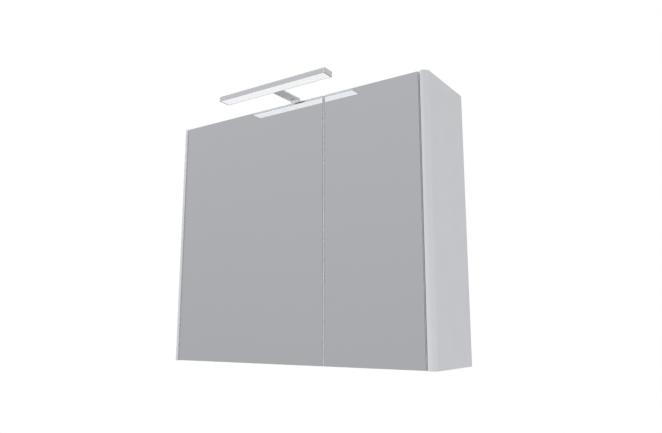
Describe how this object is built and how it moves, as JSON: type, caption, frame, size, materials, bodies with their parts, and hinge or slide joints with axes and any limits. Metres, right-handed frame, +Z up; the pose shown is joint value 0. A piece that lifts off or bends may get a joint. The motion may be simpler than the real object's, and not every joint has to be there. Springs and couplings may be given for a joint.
{
  "type": "medicine cabinet with mirror",
  "caption": "Wall-hung white bathroom cabinet with mirrored doors of unequal width on concealed hinges, glass shelves and a slim light bar on a bracket above.",
  "frame": {"origin": "on the wall plane, midway between the two fixing holes of the wall rail", "axes": "+X to the right across the width, +Y back into the wall, +Z up"},
  "size_m": [0.7, 0.252, 0.617],
  "materials": {
    "board": "white melamine-faced board, satin",
    "mirror": "silvered float glass, polished",
    "shelf_glass": "clear float glass with ground edges",
    "back_board": "white-faced hardboard",
    "beech": "fluted beech",
    "bumper": "clear soft plastic",
    "aluminium": "satin anodised, pale silver",
    "cap": "pale grey moulded plastic",
    "opal": "opal acrylic, lit",
    "strip": "white circuit strip",
    "led": "yellow phosphor chips",
    "bracket": "pale grey powder coat",
    "driver": "white moulded plastic",
    "zinc": "zinc plated sheet",
    "nickel": "nickel plated steel",
    "steel": "nickel plated",
    "pin": "ground steel",
    "screw": "zinc plated"
  },
  "bodies": {
    "cabinet": {"back_panel": "back_board", "bottom_panel": "board", "carcass_dowels": "beech", "divider_panel": "board", "door_bumpers": "bumper", "driver_case": "driver", "driver_screws": "screw", "hook_left": "zinc", "hook_right": "zinc", "hook_screws": "screw", "led_board": "strip", "led_chips": "led", "left_arm_pins": "pin", "left_lower_hinge_arm": "nickel", "left_lower_hinge_plate": "nickel", "left_lower_shelf": "shelf_glass", "left_plate_screws": "screw", "left_upper_hinge_arm": "nickel", "left_upper_hinge_plate": "nickel", "left_upper_shelf": "shelf_glass", "light_bracket": "bracket", "light_bracket_screws": "screw", "light_cap_left": "cap", "light_cap_right": "cap", "light_diffuser": "opal", "light_housing": "aluminium", "right_arm_pins": "pin", "right_lower_hinge_arm": "nickel", "right_lower_hinge_plate": "nickel", "right_lower_shelf": "shelf_glass", "right_plate_screws": "screw", "right_upper_hinge_arm": "nickel", "right_upper_hinge_plate": "nickel", "right_upper_shelf": "shelf_glass", "shelf_pins": "steel", "side_panel_left": "board", "side_panel_right": "board", "top_panel": "board", "wall_rail": "zinc"},
    "left_long_links": {"left_upper_long_link": "nickel", "left_lower_long_link": "nickel"},
    "left_short_links": {"left_upper_short_link": "nickel", "left_lower_short_link": "nickel"},
    "left_door": {"left_door_board": "board", "left_door_mirror": "mirror", "left_cup_pins": "pin", "left_cup_screws": "screw", "left_upper_hinge_cup": "nickel", "left_lower_hinge_cup": "nickel"},
    "right_long_links": {"right_upper_long_link": "nickel", "right_lower_long_link": "nickel"},
    "right_short_links": {"right_upper_short_link": "nickel", "right_lower_short_link": "nickel"},
    "right_door": {"right_door_board": "board", "right_door_mirror": "mirror", "right_cup_pins": "pin", "right_cup_screws": "screw", "right_upper_hinge_cup": "nickel", "right_lower_hinge_cup": "nickel"}
  },
  "joints": [
    {"name": "left_long_link_swing", "type": "hinge", "parent": "cabinet", "child": "left_long_links", "pos_m": [-0.3004, -0.1425, 0], "axis": [0, 0, 1], "range_deg": [0, 25.1]},
    {"name": "left_door_swing", "type": "hinge", "parent": "left_long_links", "child": "left_door", "pos_m": [-0.3208, -0.1665, 0], "axis": [0, 0, -1], "range_deg": [0, 120]},
    {"name": "left_short_link_swing", "type": "hinge", "parent": "cabinet", "child": "left_short_links", "pos_m": [-0.2873, -0.1565, 0], "axis": [0, 0, 1], "range_deg": [0, 29.7]},
    {"name": "right_long_link_swing", "type": "hinge", "parent": "cabinet", "child": "right_long_links", "pos_m": [0.3004, -0.1425, 0], "axis": [0, 0, -1], "range_deg": [0, 25.1]},
    {"name": "right_door_swing", "type": "hinge", "parent": "right_long_links", "child": "right_door", "pos_m": [0.3208, -0.1665, 0], "axis": [0, 0, 1], "range_deg": [0, 120]},
    {"name": "right_short_link_swing", "type": "hinge", "parent": "cabinet", "child": "right_short_links", "pos_m": [0.2873, -0.1565, 0], "axis": [0, 0, -1], "range_deg": [0, 29.7]}
  ],
  "couplings": [
    {"joint": "left_long_link_swing", "follows": "left_door_swing", "ratio": 0.20886},
    {"joint": "left_short_link_swing", "follows": "left_door_swing", "ratio": 0.24683},
    {"joint": "right_long_link_swing", "follows": "right_door_swing", "ratio": 0.20886},
    {"joint": "right_short_link_swing", "follows": "right_door_swing", "ratio": 0.24683}
  ]
}
